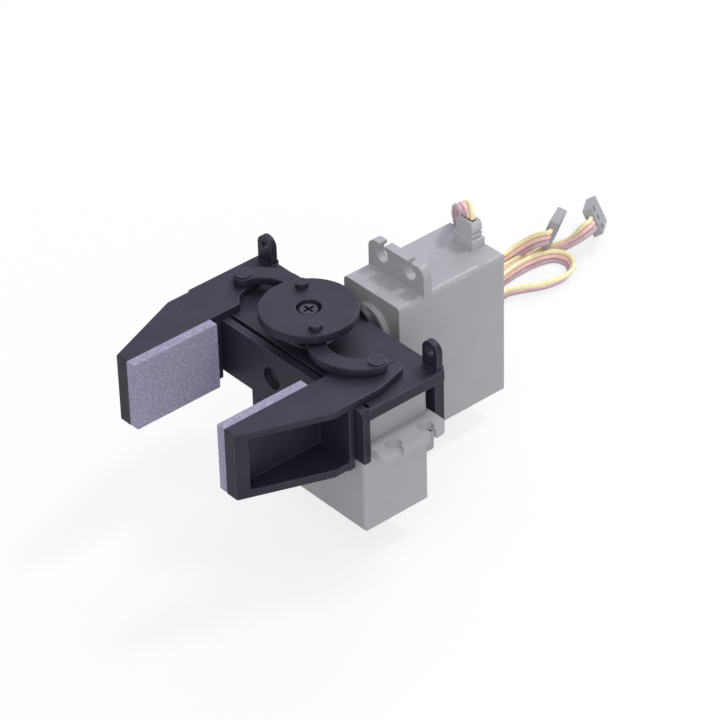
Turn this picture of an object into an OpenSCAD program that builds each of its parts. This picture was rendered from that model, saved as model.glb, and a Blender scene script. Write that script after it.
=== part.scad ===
// Two finger parallel gripper driven by a servo, with a second servo that turns it at the wrist.
// Millimetres, +Z up. The origin is the centre of the four holes in the wrist servo's flange,
// on the flange's front face. The fingers point along -Y and slide along X.

/* [Deck and walls] */
// Half of the deck's length along X
deck_half = 33; // [31.5:0.5:36]
// Distance from the drive axis to the deck's rear edge
deck_back = 11.3; // [10.8:0.1:14]
// Thickness of the deck
deck_t = 3; // [2.6:0.1:4]
// Thickness of the front wall
front_t = 2; // [1.4:0.1:3]
// Height of the front wall at its ends
front_h = 14.8; // [12:0.2:18]
// Height of the front wall where it covers the drive servo
skirt_h = 20; // [18:0.5:26]
// Start of the deeper part of the front wall along X
skirt_left = -7.6; // [-9:0.2:-5]
// End of the deeper part of the front wall along X
skirt_right = 27; // [20:0.5:30]
// Radius of the wall's rounded corners
corner_r = 2; // [0.5:0.25:3]
// Radius of the round pocket in the front wall, on the wrist axis
pocket_r = 3; // [2.4:0.1:3.5]
// Depth of that pocket
pocket_d = 1.4; // [0.6:0.1:1.5]
// Thickness of the ribs under the deck
rib_t = 1.4; // [1:0.1:2]
// Depth of the ribs below the deck
rib_h = 5; // [3:0.5:7]

/* [Finger guide] */
// Width of the groove in the deck that guides the fingers
groove_w = 1.2; // [1:0.05:1.6]
// Depth of the groove
groove_d = 2; // [1.8:0.05:2.2]
// How far the groove is cut under the deck's edge
undercut = 0.8; // [0.5:0.05:1.1]
// Thickness of the deck's edge over the undercut
groove_lip = 1.1; // [0.9:0.05:1.2]
// Sliding clearance round the guide tongue
guide_gap = 0.14; // [0.08:0.01:0.2]

/* [Rear plate] */
// Thickness of the rear plate
plate_t = 1.7; // [1.3:0.1:2.4]
// Depth of the plate below the deck's top
plate_h = 18.7; // [17.5:0.1:22]
// Distance of each ear from the middle
ear_x = 29.8; // [28.5:0.1:30.5]
// Width of an ear
ear_w = 5.2; // [4.6:0.1:6]
// Height of the ear's hole above the deck
ear_hole_z = 4.6; // [4:0.1:7]
// Radius of the ear's hole
ear_hole_r = 1.25; // [0.8:0.05:1.6]
// Width of the thick rib down each end of the plate
leg_w = 3.5; // [2.5:0.1:4.5]
// Thickness of that rib, plate and all
leg_t = 2.8; // [2.5:0.1:3.5]
// Length of the bevel at the plate's lower corners
leg_bevel = 2.4; // [1:0.1:3]
// Height from the wrist axis up to the deck's top
wrist_drop = 7.6; // [7.2:0.1:9]

/* [Drive disc and links] */
// Radius of the drive disc
disc_r = 12; // [11.4:0.1:13.5]
// Thickness of the drive disc
disc_t = 2.4; // [2:0.1:3]
// Height of the disc's underside above the deck
disc_z = 4.9; // [4.8:0.05:5.4]
// Radius of the hub under the disc
hub_r = 4.2; // [3.8:0.1:4.6]
// Radius of the neck between the hub and the disc, where the links swing past
neck_r = 3; // [2.6:0.1:3.1]
// Radius of the recess round the disc's screw
recess_r = 3.05; // [2.7:0.05:3.6]
// Depth of that recess
recess_d = 2.1; // [1.9:0.05:2.2]
// Distance of the crank pins from the drive axis
crank_r = 8.9; // [8.6:0.05:9.2]
// Angle of the crank pins at rest, back from the X axis
crank_angle = 30; // [27:0.5:33]
// Radius of the crank pins
crank_pin_r = 1.5; // [1.2:0.05:1.7]
// How far the crank pins stand above the disc
crank_pin_proud = 1.3; // [0.8:0.1:2]
// Width of a link between its ends
link_w = 4.6; // [4:0.1:4.8]
// Radius of a link's round ends
link_eye_r = 2.5; // [2.4:0.05:2.6]
// Thickness of a link
link_t = 2.2; // [1.8:0.05:2.3]
// How far a link bows out from the line between its pins
link_bow = 4.7; // [4.2:0.1:5.1]
// Radius of the pins that carry the links on the fingers
finger_pin_r = 1.5; // [1.2:0.05:1.6]
// Radius of the head on those pins
finger_pin_head_r = 2.05; // [1.9:0.05:2.3]

/* [Fingers] */
// Distance of a finger's pad wall from the middle at rest
finger_in = 17.9; // [17.4:0.1:18.6]
// Distance of a finger's outer edge from the middle at rest
finger_out = 30.2; // [29.5:0.1:30.8]
// Distance of the fingertip's outer corner from the middle at rest
tip_out = 21.5; // [20.8:0.1:23]
// Distance from the drive axis to the fingertip
finger_len = 40.8; // [38:0.2:48]
// Distance from the drive axis to the corner where the finger begins to taper
taper_y = 18.5; // [16:0.2:22]
// Distance of the finger's pin from the drive axis at rest
finger_pin_x = 24.2; // [23.9:0.1:24.6]
// Radius of the finger plate's rear end
lobe_r = 2.75; // [2.4:0.05:3]
// Distance from the finger's pin back to the centre of its rear end
lobe_y = 3; // [2.4:0.1:3.6]
// Thickness of the finger's top plate
finger_top_t = 1.9; // [1.5:0.02:1.92]
// Thickness of the finger's bottom plate
finger_bottom_t = 2.2; // [1.6:0.1:3]
// Thickness of the finger's walls
finger_wall = 1.6; // [1.2:0.1:2.2]
// Length of the solid fingertip in front of the pocket
finger_tip_t = 3.2; // [2:0.1:4.5]
// Depth of the finger below the deck's top
finger_deep = 16.6; // [15:0.1:18]
// Gap between the finger's rear wall and the front wall
finger_gap = 0.3; // [0.2:0.05:0.6]
// Thickness of a grip pad
pad_t = 2.6; // [1.6:0.1:3]
// Length of a grip pad
pad_len = 25.2; // [20:0.2:26]
// Slot left between the closed pads
closed_gap = 0.3; // [0.2:0.05:0.6]

/* [Servo case] */
// Length of a servo case
servo_l = 40.5; // [40:0.1:41]
// Width of a servo case
servo_w = 19.9; // [19.6:0.1:20.1]
// Height of a servo case without its boss
servo_h = 34.8; // [34:0.1:37]
// Distance from the case's near end to its output shaft
shaft_in = 9.95; // [9.8:0.05:10.1]
// Thickness of the case walls
case_wall = 1.2; // [1:0.05:1.25]
// Thickness of the case's top and bottom
case_skin = 1.4; // [1.2:0.05:1.5]
// Radius of the case's upright edges
case_r = 1.2; // [0.6:0.1:1.8]
// Height of the gear cover
cover_h = 6; // [5:0.1:6.5]
// Height of the bottom cover
base_h = 8.8; // [8:0.1:9.5]
// Bevel round the foot of the bottom cover
base_bevel = 1.1; // [0.4:0.1:1.1]
// Distance from the case's top down to the flange
flange_drop = 7.9; // [7.4:0.1:8.4]
// How far the flange reaches past each end of the case
flange_out = 7.35; // [6.8:0.05:7.8]
// Thickness of the flange
flange_t = 2.5; // [2:0.1:3]
// Distance from the flange's end in to the middle of its holes
hole_edge = 2.85; // [2.6:0.05:3.1]
// Distance between the flange's holes across its width
hole_wide = 10; // [9.6:0.1:10.4]
// Radius of the flange's holes
hole_r = 2.1; // [1.8:0.05:2.3]
// Width of the slot that opens each hole to the flange's end
hole_slot = 1.8; // [1:0.1:2.4]
// Radius of the boss round the output shaft
boss_r = 6.5; // [6:0.1:6.8]
// Height of that boss
boss_h = 1.6; // [1.2:0.1:1.9]

/* [Servo drive] */
// Radius of the splined end of the output shaft
spline_r = 2.95; // [2.8:0.01:3]
// Height of the splined end above the boss
spline_h = 3.2; // [2.8:0.1:3.3]
// Radial clearance of shafts in their bushes and gears on their pins
shaft_gap = 0.05; // [0.03:0.01:0.08]
// Module of the gear teeth
gear_m = 0.4; // [0.38:0.005:0.405]
// Teeth on the motor's pinion
pinion_teeth = 10; // [10:1:12]
// Teeth on the small side of the first two gears
small_teeth = 12; // [11:1:13]
// Teeth on the large side of the gears
large_teeth = 40; // [38:1:41]
// Teeth on the small side of the third gear
third_teeth = 14; // [13:1:15]
// Teeth on the output gear
output_teeth = 38; // [36:1:40]
// Thickness of the thin gears
gear_t = 1.5; // [1.2:0.05:1.6]
// Thickness of the output gear
output_gear_t = 2.5; // [2:0.1:2.6]
// Gap between gears that lie over each other
gear_gap = 0.4; // [0.3:0.05:0.45]
// Radius of the steel pin that carries two of the gears
gear_pin_r = 0.9; // [0.7:0.05:1]
// Radius of the motor
motor_r = 7.8; // [7:0.1:8]
// Room between the motor and the bottom cover's floor
motor_foot_gap = 2.9; // [2.4:0.1:5]
// Room between the motor and the case's far end wall
motor_end_gap = 2.05; // [1.6:0.05:2.5]
// Radius of the case screws
case_screw_r = 0.9; // [0.7:0.05:1]
// Width of the lead's strain relief
relief_w = 7; // [6:0.1:7.6]
// Thickness of the strain relief
relief_t = 4; // [3.4:0.1:4.4]
// How far the strain relief stands out of the case
relief_out = 7; // [6:0.2:10]

/* [Screws and horn] */
// Radius of the screw that holds the disc or the horn
centre_screw_r = 1.25; // [1:0.05:1.4]
// Radius of that screw's head
centre_head_r = 2.2; // [2:0.05:2.4]
// Height of that screw's head
centre_head_h = 1.5; // [1.2:0.05:1.6]
// Radius of the wrist horn
horn_r = 10; // [9.4:0.1:11]
// Thickness of the wrist horn's disc
horn_t = 2; // [1.6:0.1:2.4]
// Height of the wrist horn with its hub
horn_h = 4.5; // [4.3:0.1:5]
// Radius of the circle of the horn's screws
horn_pcd_r = 7; // [6.6:0.1:7.6]
// Radius of the horn's screws
horn_screw_r = 0.8; // [0.6:0.05:0.9]
// Radius of the screws that hold the drive servo
mount_screw_r = 1.3; // [1:0.05:1.4]

/* [Leads] */
// Radius of the tube that stands for a three wire lead
lead_r = 1.3; // [1:0.05:1.5]
// Width of a lead's plug
plug_w = 7.6; // [7:0.1:8.2]
// Thickness of a plug
plug_t = 2.6; // [2.4:0.05:3]
// Length of a plug
plug_l = 14; // [12:0.2:15]

/* [Hidden] */
$fn = 64;

cut = 0.02;                 // how far a cutting solid runs past the face it cuts
slip = 0.02;                // clearance of pins and screws in the holes that hold them
seat = 0.1;                 // running clearance between flat faces that slide
screw_bite = 4;             // how deep a centre screw turns into its shaft
horn_gap = 0.3;             // gap between a horn or hub and the boss it turns over

// Servo, in its own frame: shaft along +Z at the origin, case top at Z = 0
case_x = -shaft_in;
servo_mid = servo_l / 2 - shaft_in;
flange_l = servo_l + 2 * flange_out;
hole_long = flange_l - 2 * hole_edge;
case_mid_h = servo_h - cover_h - base_h;
well_w = servo_w - 2 * case_wall;
well_l = servo_l - 2 * case_wall;
spline_top = boss_h + spline_h;
journal_r = spline_r + 0.05;
bush_r = journal_r + shaft_gap + 1;
stem_r = 1.5;
motor_shaft_r = 0.5;

// Gear train: one axis through the output shaft, one through the pin, one through the motor
pin_x = gear_m * (small_teeth + large_teeth) / 2;
motor_x = pin_x + gear_m * (pinion_teeth + large_teeth) / 2;
output_z = -(case_skin + 0.5 + output_gear_t);
level_2 = output_z - gear_gap - gear_t;
level_3 = level_2 - gear_gap - gear_t;
level_4 = level_3 - gear_gap - gear_t;
gear_floor = level_4 - 0.6;
gear_floor_t = 1.3;
motor_top = gear_floor - gear_floor_t;
motor_l = motor_top + servo_h - case_skin - motor_foot_gap;
motor_end = case_x + servo_l - case_wall - motor_end_gap;
post_in = 2.6;              // case screw pillars, in from the case's corners
post_r = 1.85;
case_head_r = case_screw_r + 0.45;
board_w = 2 * (servo_w / 2 - post_in - post_r - 0.2);
board_l = 15.6;
board_t = 1.2;
pin_boss_h = 0.4;           // boss under the gear cover's skin that the gear pin ends in
pin_hold = 0.8;             // how deep the gear pin sits in the cover and in the gear floor
board_z = -servo_h + case_skin + 2.2;
relief_z = -servo_h + base_bevel + 0.2;
relief_in = case_wall + 0.2; // how far the strain relief reaches into the case

// Gripper, in its own frame: drive axis at the origin, deck's top at Z = 0
wrist_face = deck_back + plate_t + horn_h + horn_gap + boss_h;
hub_bottom = -deck_t + boss_h + horn_gap;
socket_top = -deck_t + spline_top + seat;
disc_top = disc_z + disc_t;
disc_seat = disc_top - recess_d;
finger_low = 0.12;          // clearance of the sliding finger plate over the deck
finger_top = finger_low + finger_top_t;
link_z = finger_top + seat;
crank_pin_low = link_z + link_t + 0.3; // foot of the crank pins, clear above the links
rib_in = 1.4;               // outer rib, in from the deck's end
flange_room = 3.8;          // room between the drive servo's flange and the rib beside it
flange_rib_x = case_x - flange_out - flange_room - rib_t;
front_in = servo_w / 2 + 0.05;
front_out = front_in + front_t;
body_back = front_out + finger_gap;
groove_y = front_in - groove_w;
crank_x = crank_r * cos(crank_angle);
crank_y = -crank_r * sin(crank_angle);
link_l = norm([finger_pin_x - crank_x, -crank_y]);
link_tilt = atan2(-crank_y, finger_pin_x - crank_x);
link_arc_r = link_l * link_l / (8 * link_bow) + link_bow / 2;
link_half_angle = asin(link_l / 2 / link_arc_r);
close_travel = finger_in - pad_t - closed_gap / 2;
lobe_x = finger_pin_x + 1.4; // middle of the finger plate's round rear end
hub_cut_r = hub_r + 2.6;    // round cut in the finger plate that clears the hub when closed
pad_h = finger_top + finger_deep - 0.1;
tongue_t = groove_w - 2 * guide_gap;

// Places of the two frames in the part's own frame
gripper_at = [0, -wrist_face - flange_drop, servo_mid + wrist_drop];
wrist_at = [0, -flange_drop, servo_mid];

// Colours
black = [0.24, 0.23, 0.28];
grey = [0.66, 0.66, 0.69];
steel = [0.72, 0.72, 0.74];
brass = [0.78, 0.62, 0.3];
nylon = [0.92, 0.91, 0.86];

// Routes of the two leads: along the surface that the part stands on, in the part's own frame
ground = -flange_l / 2;
floor_z = ground + 2;       // height of a lead's middle where it lies on its edge
relief_mid = relief_z + relief_t / 2;
wrist_exit = [0, -flange_drop - relief_mid, servo_mid - case_x + relief_out];
drive_exit = gripper_at + [case_x - relief_out, 0, -deck_t + relief_mid];
wrist_route = [
    wrist_exit, [-0.3, 23.6, 28.7], [-1.5, 23.8, 29.5], [-3.4, 24.4, 29.1], [-5.5, 25.5, 27.3],
    [-7.5, 27, 24.1], [-9, 28.9, 20], [-9.9, 30.2, 15], [-10.4, 31, 8], [-10.8, 32, 0],
    [-11.4, 33.6, -8], [-12.8, 36.2, -15.5], [-15.2, 40, -21.5], [-18.3, 44.8, -24.8],
    [-22, 50.4, floor_z], [-24.8, 55.4, floor_z], [-26.3, 60, floor_z], [-24.9, 64.2, floor_z],
    [-22.4, 69.2, floor_z], [-21.3, 74, floor_z], [-21.6, 78, floor_z], [-23.6, 81, floor_z],
    [-26.9, 82.3, floor_z], [-30, 81.2, floor_z], [-31.5, 78.3, floor_z], [-32.2, 74, floor_z],
    [-32.1, 69, floor_z], [-31.4, 64, floor_z], [-30.6, 58.5, floor_z], [-30.4, 53.4, floor_z],
    [-31.9, 49.2, -25.8], [-35.4, 48.6, -26], [-37, 52, -26.2], [-36.3, 57, -26.3],
    [-35.4, 62, -26.3], [-35.1, 67, -26.3], [-35.2, 72, -26.3], [-34.9, 77, -26.3],
    [-33.9, 81, -26.2], [-32.2, 83.8, -25.4], [-30.2, 85.9, -23.9], [-28.2, 87.3, -21.7],
    [-26.6, 88.6, -19.4], [-26.1, 90.6, -18.25], [-27.5, 92.2, -19]
];
drive_route = [
    drive_exit, drive_exit + [-1.9, 0, 0], [-20.9, -26.4, -16.9], [-22.4, -23.4, -17.8],
    [-23.3, -18.5, -19], [-24.2, -13, -20.3], [-25.8, -7, -22], [-28.6, -1, -23.8],
    [-32.8, 4, -25.1], [-38.5, 7, floor_z], [-45, 8, floor_z], [-52, 9, floor_z],
    [-57, 12.8, floor_z], [-57, 18.6, floor_z], [-51.5, 22.4, floor_z], [-42, 23.4, floor_z],
    [-31, 23.4, floor_z], [-21, 24, floor_z], [-14.2, 27, floor_z], [-12.6, 32.6, floor_z],
    [-15.6, 37, floor_z], [-22, 38.6, floor_z], [-29.5, 38.8, floor_z], [-36.8, 41, floor_z],
    [-41.2, 46, floor_z], [-41.6, 52.5, floor_z], [-40.3, 59, floor_z], [-38.9, 65, floor_z],
    [-38, 70, floor_z], [-37.7, 73.7, -24.9], [-35.6, 76.4, -22.6], [-32.7, 77.5, -20.1],
    [-30.6, 78.9, -18.95], [-31.8, 80.5, -19.6]
];

function unit(v) = v / norm(v);
function tangent(path, i) = unit(path[min(i + 1, len(path) - 1)] - path[max(i - 1, 0)]);
function side(t) = abs(t.z) > 0.9 ? unit(cross(t, [0, 1, 0])) : unit(cross(t, [0, 0, 1]));
function ring(path, i, r, sides) = let (t = tangent(path, i), a = side(t), b = cross(a, t))
    [for (k = [0 : sides - 1]) let (q = 360 * k / sides) path[i] + r * (cos(q) * a + sin(q) * b)];

module in_gripper() translate(gripper_at) children();
module in_drive_servo() in_gripper() translate([0, 0, -deck_t]) children();
module in_wrist_servo() translate(wrist_at) rotate([90, 90, 0]) children();

module disc_at(x, y, z, r, h) translate([x, y, z]) cylinder(r = r, h = h);

module tube(path, r, sides = 8) {
    n = len(path);
    points = [for (i = [0 : n - 1]) each ring(path, i, r, sides)];
    walls = [for (i = [0 : n - 2]) for (k = [0 : sides - 1])
        let (a = i * sides + k, b = i * sides + (k + 1) % sides)
        [a, b, b + sides, a + sides]];
    start = [for (k = [sides - 1 : -1 : 0]) k];
    finish = [for (k = [0 : sides - 1]) (n - 1) * sides + k];
    polyhedron(points, concat(walls, [start, finish]));
}

// Rectangle from the origin with rounded corners
module rounded(l, w, r) {
    translate([r, 0]) square([l - 2 * r, w]);
    translate([0, r]) square([l, w - 2 * r]);
    for (x = [r, l - r]) for (y = [r, w - r]) translate([x, y]) circle(r, $fn = 32);
}

// ---------------------------------------------------------------- servo

module case_slab(z, h) translate([case_x, -servo_w / 2, z]) linear_extrude(h)
    rounded(servo_l, servo_w, case_r);

module case_well(z, h) translate([case_x + case_wall, -well_w / 2, z]) linear_extrude(h)
    rounded(well_l, well_w, max(case_r - case_wall, 0.4));

module at_corners() for (x = [case_x + post_in, case_x + servo_l - post_in])
    for (y = [-1, 1]) translate([x, y * (servo_w / 2 - post_in), 0]) children();

module pillars(z, h) intersection() {
    case_slab(z, h);
    at_corners() translate([0, 0, z]) cylinder(r = post_r, h = h);
}

module servo_gear_cover() {
    difference() {
        union() {
            difference() {
                case_slab(-cover_h, cover_h);
                case_well(-cover_h - cut, cover_h - case_skin + cut);
            }
            pillars(-cover_h, cover_h - case_skin + cut);
            disc_at(0, 0, -case_skin, boss_r, boss_h + case_skin);
            disc_at(pin_x, 0, -case_skin - pin_boss_h, gear_pin_r + 0.8, pin_boss_h + cut);
        }
        disc_at(0, 0, -case_skin - cut, bush_r + slip, boss_h + case_skin + 2 * cut);
        disc_at(pin_x, 0, -case_skin - pin_boss_h - cut, gear_pin_r + slip, pin_hold + cut);
        at_corners() translate([0, 0, -cover_h - cut]) cylinder(r = case_screw_r + slip, h = 3);
    }
}

module flange_plan() {
    difference() {
        translate([servo_mid - flange_l / 2, -servo_w / 2]) rounded(flange_l, servo_w, 2.6);
        for (s = [-1, 1]) for (y = [-1, 1])
            translate([servo_mid + s * hole_long / 2, y * hole_wide / 2]) {
                circle(hole_r);
                translate([s > 0 ? 0 : -hole_long, -hole_slot / 2]) square([hole_long, hole_slot]);
            }
    }
}

module servo_case() {
    top = -cover_h;
    bottom = -servo_h + base_h;
    difference() {
        union() {
            difference() {
                case_slab(bottom, top - bottom);
                case_well(gear_floor, top - gear_floor + cut);
                case_well(bottom - cut, motor_top - bottom + cut);
            }
            pillars(bottom, top - bottom);
            translate([0, 0, -flange_drop - flange_t]) linear_extrude(flange_t) difference() {
                flange_plan();
                translate([case_x + case_wall, -well_w / 2]) square([well_l, well_w]);
            }
            for (s = [-1, 1]) flange_web(s);
        }
        disc_at(0, 0, motor_top - cut, stem_r + shaft_gap, gear_floor_t + 2 * cut);
        disc_at(pin_x, 0, gear_floor - pin_hold, gear_pin_r + slip, pin_hold + cut);
        disc_at(motor_x, 0, motor_top - cut, 2.4, gear_floor_t + 2 * cut);
        at_corners() translate([0, 0, bottom - cut])
            cylinder(r = case_screw_r + slip, h = top - bottom + 2 * cut);
    }
}

// Stiffening web under the middle of each end of the flange
module flange_web(s) {
    reach = flange_out - 2.2;
    end = s > 0 ? case_x + servo_l - cut : case_x + cut;
    translate([end, 0.6, -flange_drop - flange_t + cut]) rotate([90, 0, 0]) linear_extrude(1.2)
        polygon([[0, 0], [s * reach, 0], [0, -3.4]]);
}

module servo_bottom_cover() {
    difference() {
        union() {
            difference() {
                case_slab(-servo_h, base_h);
                case_well(-servo_h + case_skin, base_h - case_skin + cut);
            }
            pillars(-servo_h + cut, base_h - cut);
        }
        relief_slot();
        at_corners() {
            translate([0, 0, -servo_h - cut]) cylinder(r = case_screw_r + slip, h = base_h + 2 * cut);
            translate([0, 0, -servo_h - cut]) cylinder(r = case_head_r + 0.1, h = 1.2);
        }
        foot_bevel();
    }
}

module foot_bevel() {
    across = base_bevel * sqrt(2);
    for (s = [-1, 1]) {
        translate([servo_mid, s * servo_w / 2, -servo_h]) rotate([45, 0, 0])
            cube([servo_l + 2, across, across], center = true);
        translate([servo_mid + s * servo_l / 2, 0, -servo_h]) rotate([0, 45, 0])
            cube([across, servo_w + 2, across], center = true);
    }
}

module relief_slot() translate([case_x - cut, -relief_w / 2 + 0.5, relief_z + 0.5])
    cube([relief_in + 2 * cut, relief_w - 1, relief_t - 1]);

module servo_case_screws() {
    length = servo_h - cover_h + 2.4;
    at_corners() {
        translate([0, 0, -servo_h + 1.1]) cylinder(r = case_screw_r, h = length - 1.1);
        translate([0, 0, -servo_h + 0.2]) difference() {
            cylinder(r = case_head_r, h = 0.96);
            cross_recess(1.9, 0.4, 0.5);
        }
    }
}

// Cross slot cut up into the underside of a screw head
module cross_recess(l, w, d) for (a = [0, 90]) rotate(a)
    translate([-l / 2, -w / 2, -cut]) cube([l, w, d + cut]);

module servo_motor() {
    near = motor_x - motor_r + 0.9;
    foot = motor_top - motor_l;
    intersection() {
        difference() {
            union() {
                disc_at(motor_x, 0, foot, motor_r, motor_l);
                disc_at(motor_x, 0, motor_top - cut, 2.2, gear_floor_t);
            }
            disc_at(motor_x, 0, foot + 1, motor_shaft_r + shaft_gap, motor_l + gear_floor_t);
            for (s = [-1, 1]) translate([motor_x - 2.6, s * motor_r - 1, foot + 4])
                cube([5.2, 2, 4]);
            at_corners() translate([0, 0, foot - cut])
                cylinder(r = post_r + seat, h = motor_l + 2 * cut);
        }
        translate([near, -motor_r, foot - cut])
            cube([motor_end - near, 2 * motor_r, motor_l + gear_floor_t + 2 * cut]);
    }
}

// Gear outline with a tooth on the X axis at phase 0
module gear_plan(teeth, phase = 0) {
    pitch = gear_m * teeth / 2;
    tip = pitch + 0.85 * gear_m;
    root = pitch - 1.15 * gear_m;
    polygon([for (i = [0 : teeth - 1]) let (a = phase + 360 * i / teeth) each [
        polar(root, a - half_angle(0.98, root)), polar(tip, a - half_angle(0.3, tip)),
        polar(tip, a + half_angle(0.3, tip)), polar(root, a + half_angle(0.98, root))
    ]]);
}
function polar(r, a) = [r * cos(a), r * sin(a)];
function half_angle(modules, r) = asin(modules * gear_m / r);

module gear(x, z, teeth, h, bore, phase = 0) translate([x, 0, z]) linear_extrude(h) difference() {
    gear_plan(teeth, phase);
    if (bore > 0) circle(bore, $fn = 32);
}

// Turn that puts a gap opposite the tooth of the gear it meets across the X axis
function meshed(teeth) = 180 + 180 / teeth;

module servo_pinion() {
    start = motor_top - motor_l + 1 + seat;
    gear(motor_x, level_4, pinion_teeth, gear_t, 0, 180);
    disc_at(motor_x, 0, start, motor_shaft_r, level_4 + gear_t + 0.3 - start);
}

module servo_gear_1() {
    bore = gear_pin_r + shaft_gap;
    gear(pin_x, level_4, large_teeth, gear_t, bore, 180 / large_teeth);
    gear(pin_x, level_4 + gear_t - cut, small_teeth, gear_gap + gear_t + cut, bore, 180);
}

module servo_gear_2() {
    bore = stem_r + shaft_gap;
    gear(0, level_3, large_teeth, gear_t, bore, 180 / large_teeth);
    gear(0, level_3 + gear_t - cut, small_teeth, gear_gap + gear_t + cut, bore, 0);
}

module servo_gear_3() {
    bore = gear_pin_r + shaft_gap;
    gear(pin_x, level_2, large_teeth, gear_t, bore, meshed(large_teeth));
    gear(pin_x, level_2 + gear_t - cut, third_teeth, gear_gap + output_gear_t + cut, bore, 180);
}

module servo_output_gear() {
    difference() {
        union() {
            gear(0, output_z, output_teeth, output_gear_t, 0, 180 / output_teeth);
            disc_at(0, 0, output_z + output_gear_t - cut, journal_r,
                boss_h - output_z - output_gear_t + cut);
            translate([0, 0, boss_h - cut]) linear_extrude(spline_h + cut) spline_plan(spline_r);
            disc_at(0, 0, motor_top - 1.4, stem_r, output_z - motor_top + 1.4 + cut);
        }
        disc_at(0, 0, spline_top - 7, centre_screw_r + slip, 7 + cut);
    }
}

// Round outline with fine grooves, 24 to the turn
module spline_plan(r) difference() {
    circle(r);
    for (i = [0 : 23]) rotate(i * 15) translate([r, 0]) circle(0.16, $fn = 8);
}

module servo_gear_pin() {
    top = -case_skin - pin_boss_h + pin_hold - seat;
    disc_at(pin_x, 0, gear_floor - pin_hold, gear_pin_r, top - gear_floor + pin_hold);
}

module servo_bush() difference() {
    disc_at(0, 0, -case_skin, bush_r, boss_h + case_skin);
    disc_at(0, 0, -case_skin - cut, journal_r + shaft_gap, boss_h + case_skin + 2 * cut);
}

module servo_potentiometer() difference() {
    union() {
        disc_at(0, 0, motor_top - 6, 5.6, 6 - seat / 2);
        translate([-5.6, -2.6, motor_top - 6]) cube([2.6, 5.2, 3]);
        for (y = [-2.5, 0, 2.5]) translate([-4.4, y - 0.3, board_z])
            cube([0.4, 0.6, motor_top - 6 - board_z + cut]);
    }
    disc_at(0, 0, motor_top - 1.6, stem_r + shaft_gap, 1.6 + cut);
}

module servo_circuit_board() {
    translate([case_x + case_wall + 0.3, -board_w / 2, board_z - board_t])
        cube([board_l, board_w, board_t]);
    translate([-1.5, -2.5, board_z - cut]) cube([5, 5, 1.2]);
    translate([case_x + case_wall + 1, 2.4, board_z - board_t - 0.9]) cube([4, 2.4, 0.9 + cut]);
}

module servo_strain_relief() {
    base = case_x - relief_out;
    translate([base, 0, relief_z]) difference() {
        union() {
            translate([relief_out - 2.2, -relief_w / 2, 0]) cube([2.2, relief_w, relief_t]);
            translate([2, -relief_w / 2 + 0.5, 0.4]) cube([relief_out - 3, relief_w - 1, relief_t - 0.8]);
            translate([2, 0, 0.4]) linear_extrude(relief_t - 0.8) intersection() {
                scale_round(relief_w / 2 - 0.5);
                translate([-6, -relief_w]) square([6 + cut, 2 * relief_w]);
            }
            translate([relief_out - cut, -relief_w / 2 + 0.6, 0.6])
                cube([relief_in, relief_w - 1.2, relief_t - 1.2]);
        }
        translate([-2, -2.05, relief_t / 2 - 0.7]) cube([relief_out + 6, 4.1, 1.4]);
        for (x = [2.6, 4]) for (s = [-1, 1])
            translate([x, s > 0 ? relief_w / 2 - 0.9 : -relief_w / 2, -cut])
                cube([0.6, 0.9, relief_t + 2 * cut]);
    }
}

module scale_round(r) intersection() {
    circle(r);
    translate([-2, -r]) square([4, 2 * r]);
}

module lead_plug() {
    difference() {
        translate([0, -plug_w / 2, -plug_t / 2]) cube([plug_l, plug_w, plug_t]);
        for (y = [-2.54, 0, 2.54]) {
            translate([plug_l - 6, y - 0.5, -0.5]) cube([6 + cut, 1, 1]);
            translate([2.4, y - 0.7, plug_t / 2 - 0.5]) cube([3.4, 1.4, 0.5 + cut]);
        }
    }
}

// ---------------------------------------------------------------- gripper

module base_frame() color(black) in_gripper() difference() {
    union() {
        translate([-deck_half, -front_in - cut, -deck_t])
            cube([2 * deck_half, deck_back + front_in + cut + plate_t, deck_t]);
        front_wall();
        rear_plate();
        for (x = [-deck_half + rib_in, flange_rib_x]) translate([x, -front_in - cut, -deck_t - rib_h])
            cube([rib_t, front_in + deck_back + 2 * cut, rib_h + cut]);
        servo_posts();
    }
    guide_groove();
    disc_at(0, 0, -deck_t - cut, boss_r + 0.2, deck_t + 2 * cut);
    translate([0, -front_out + pocket_d, -wrist_drop]) rotate([90, 0, 0])
        cylinder(r = pocket_r, h = pocket_d + cut);
    horn_holes();
}

module front_wall() translate([0, -front_in, 0]) rotate([90, 0, 0]) linear_extrude(front_t) {
    translate([-deck_half, -front_h]) rounded(2 * deck_half, front_h, corner_r);
    translate([-deck_half, -front_h]) square([6, 6]);
    translate([deck_half - 6, -front_h]) square([6, 6]);
    translate([skirt_left, -skirt_h]) square([skirt_right - skirt_left, skirt_h - corner_r]);
}

module rear_plate() translate([0, deck_back + plate_t, 0]) rotate([90, 0, 0]) {
    linear_extrude(plate_t) difference() {
        union() {
            polygon([[-ear_x - leg_w / 2, -deck_t / 2], [-ear_x - leg_w / 2, -plate_h + leg_bevel],
                [-ear_x, -plate_h], [ear_x, -plate_h], [ear_x + leg_w / 2, -plate_h + leg_bevel],
                [ear_x + leg_w / 2, -deck_t / 2]]);
            for (s = [-1, 1]) translate([s * ear_x, 0]) {
                translate([-ear_w / 2, -deck_t]) square([ear_w, ear_hole_z + deck_t]);
                translate([0, ear_hole_z]) circle(ear_w / 2);
            }
        }
        for (s = [-1, 1]) translate([s * ear_x, ear_hole_z]) circle(ear_hole_r);
    }
    for (s = [-1, 1]) translate([s * ear_x - leg_w / 2, -plate_h + leg_bevel, plate_t - leg_t])
        cube([leg_w, plate_h - leg_bevel, leg_t - plate_t + cut]);
}

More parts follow.
